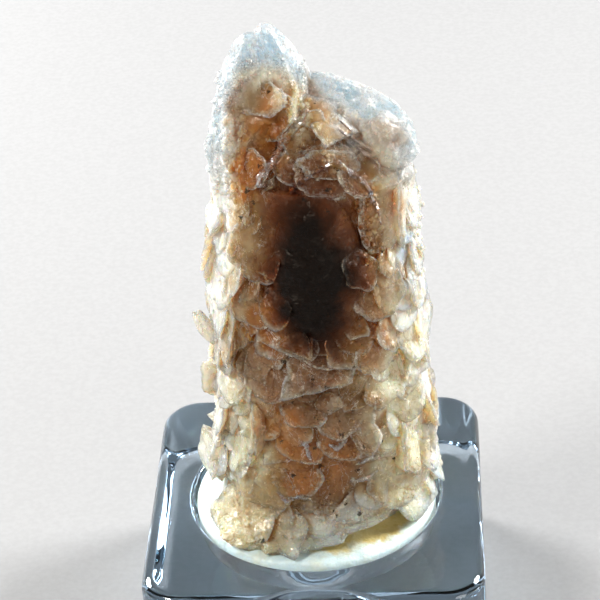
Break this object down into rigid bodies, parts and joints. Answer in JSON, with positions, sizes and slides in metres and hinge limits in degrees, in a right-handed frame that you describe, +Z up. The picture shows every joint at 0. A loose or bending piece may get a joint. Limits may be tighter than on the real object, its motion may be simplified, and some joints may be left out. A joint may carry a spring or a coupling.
{
  "type": "quartz with calcite specimen",
  "caption": "Column of overlapping translucent calcite scales with quartz at its top, set in putty in a clear square glass block.",
  "frame": {"origin": "centre of the glass block's underside", "axes": "+Z up along the specimen, -Y towards the front where the smooth dark face is, +X to the right"},
  "size_m": [0.054, 0.054, 0.1098],
  "materials": {
    "glass": "clear, polished, pressed",
    "putty": "matte, slightly uneven cream-white mounting putty",
    "specimen": "glossy translucent honey-amber crystal, icy white at the tips and edges"
  },
  "bodies": {
    "root": {"glass_block": "glass", "putty": "putty", "specimen": "specimen"}
  },
  "joints": []
}
